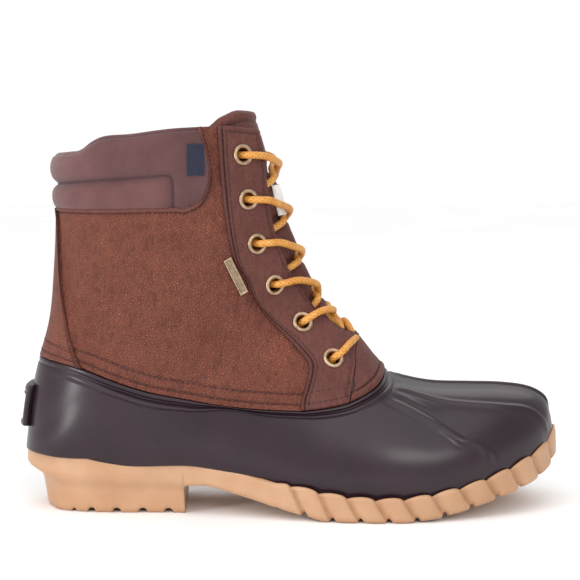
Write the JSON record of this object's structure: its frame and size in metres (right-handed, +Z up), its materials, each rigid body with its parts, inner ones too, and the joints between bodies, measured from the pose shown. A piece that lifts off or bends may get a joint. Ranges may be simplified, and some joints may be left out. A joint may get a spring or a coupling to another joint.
{
  "type": "duck boot",
  "caption": "Right duck boot: moulded rubber bottom with ribbed toe, laced leather shaft, padded ankle collar and a tan gum sole with rope edge and heel",
  "frame": {"origin": "on the floor plane under the middle of the heel tread", "axes": "+X runs from heel to toe, +Y is the medial (inner) side, +Z is up"},
  "size_m": [0.3086, 0.1094, 0.2266],
  "materials": {
    "gum_rubber": "matt moulded gum rubber, pale tan",
    "brown_rubber": "glossy moulded rubber, dark aubergine brown",
    "insole_felt": "pressed felt",
    "brown_leather": "oiled pebble grain leather, mottled brown",
    "facing_leather": "fine grain leather, red brown",
    "tongue_leather": "padded leather, red brown",
    "collar_nubuck": "soft padded nubuck, mauve brown",
    "antique_brass": "antique brass, satin",
    "golden_lace": "round braided cord, golden yellow",
    "navy_weave": "plain woven tape, navy",
    "white_weave": "plain woven tape, off-white"
  },
  "bodies": {
    "root": {"outsole": "gum_rubber", "rubber_shell": "brown_rubber", "heel_tab": "brown_rubber", "insole": "insole_felt", "leather_shaft": "brown_leather", "back_stay": "brown_leather", "vamp": "brown_leather", "facing_lateral": "facing_leather", "facing_medial": "facing_leather", "tongue": "tongue_leather", "collar": "collar_nubuck", "badge_bar": "antique_brass", "side_label": "navy_weave", "tongue_label": "white_weave", "lace_bar": "golden_lace", "lace_crossing_1": "golden_lace", "lace_crossing_2": "golden_lace", "lace_crossing_3": "golden_lace", "lace_crossing_4": "golden_lace", "lace_crossing_5": "golden_lace", "eyelet_lateral_1": "antique_brass", "eyelet_lateral_2": "antique_brass", "eyelet_lateral_3": "antique_brass", "eyelet_lateral_4": "antique_brass", "eyelet_lateral_5": "antique_brass", "eyelet_lateral_6": "antique_brass", "eyelet_medial_1": "antique_brass", "eyelet_medial_2": "antique_brass", "eyelet_medial_3": "antique_brass", "eyelet_medial_4": "antique_brass", "eyelet_medial_5": "antique_brass", "eyelet_medial_6": "antique_brass"}
  },
  "joints": []
}
